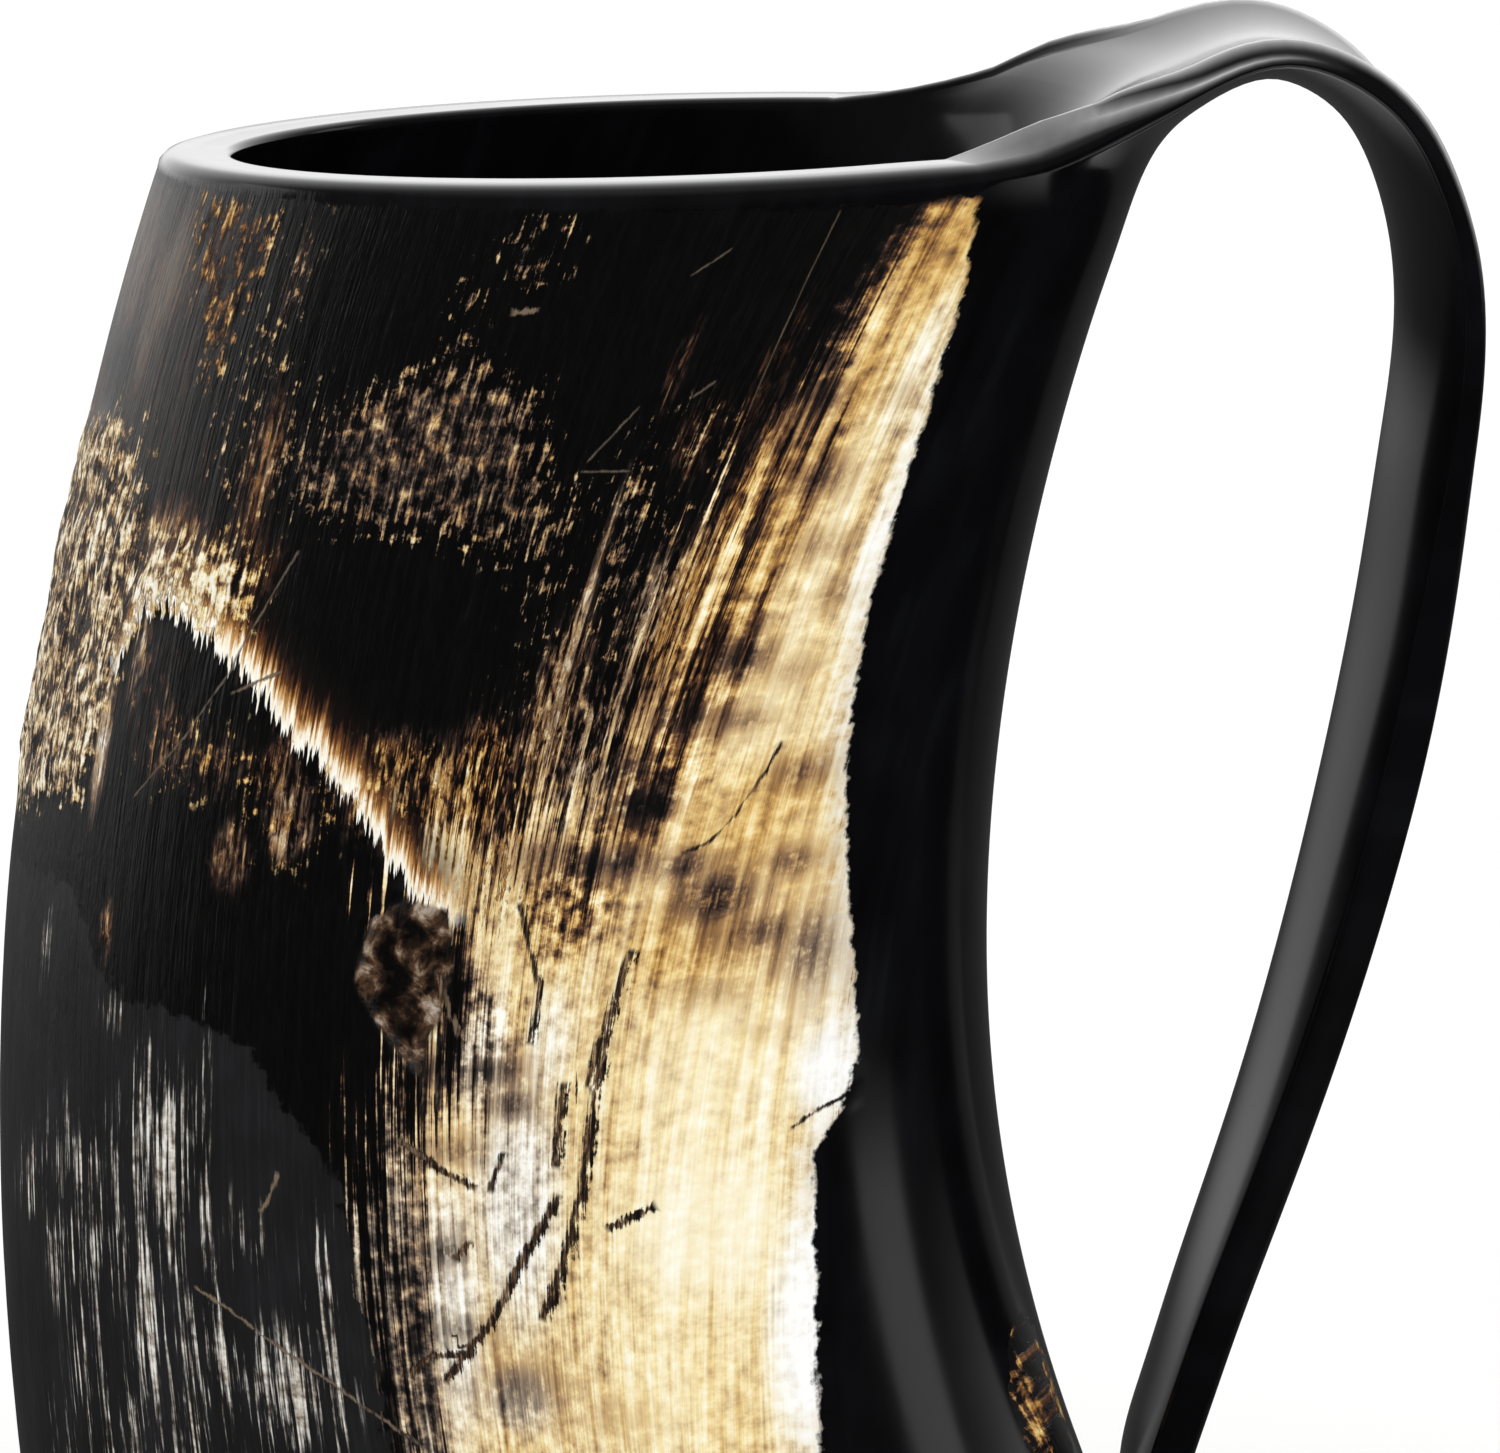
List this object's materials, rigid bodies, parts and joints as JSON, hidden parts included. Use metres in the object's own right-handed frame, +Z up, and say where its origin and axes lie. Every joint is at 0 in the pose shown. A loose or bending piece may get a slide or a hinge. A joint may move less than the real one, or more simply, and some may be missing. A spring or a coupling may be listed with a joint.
{
  "type": "drinking horn tankard",
  "caption": "Oval drinking-horn tankard whose handle is a strip of its own wall bent over and pinned at the foot, with a wooden board let into its base.",
  "frame": {"origin": "centre of the oval resting face, on the surface the tankard stands on", "axes": "+Z up, +X towards the handle, +Y to the side away from the viewer"},
  "size_m": [0.1335, 0.0728, 0.1611],
  "materials": {
    "horn": "natural ox horn: polished black with raw bark-like brown streaks and a cream patch, clear coated",
    "board_wood": "turned hardwood, oiled",
    "seal_resin": "black food-safe resin bead, glossy",
    "brass": "hammered brass brads, slightly tarnished"
  },
  "bodies": {
    "root": {"horn": "horn", "base_board": "board_wood", "base_seal": "seal_resin", "base_brads": "brass", "handle_brads": "brass"}
  },
  "joints": []
}
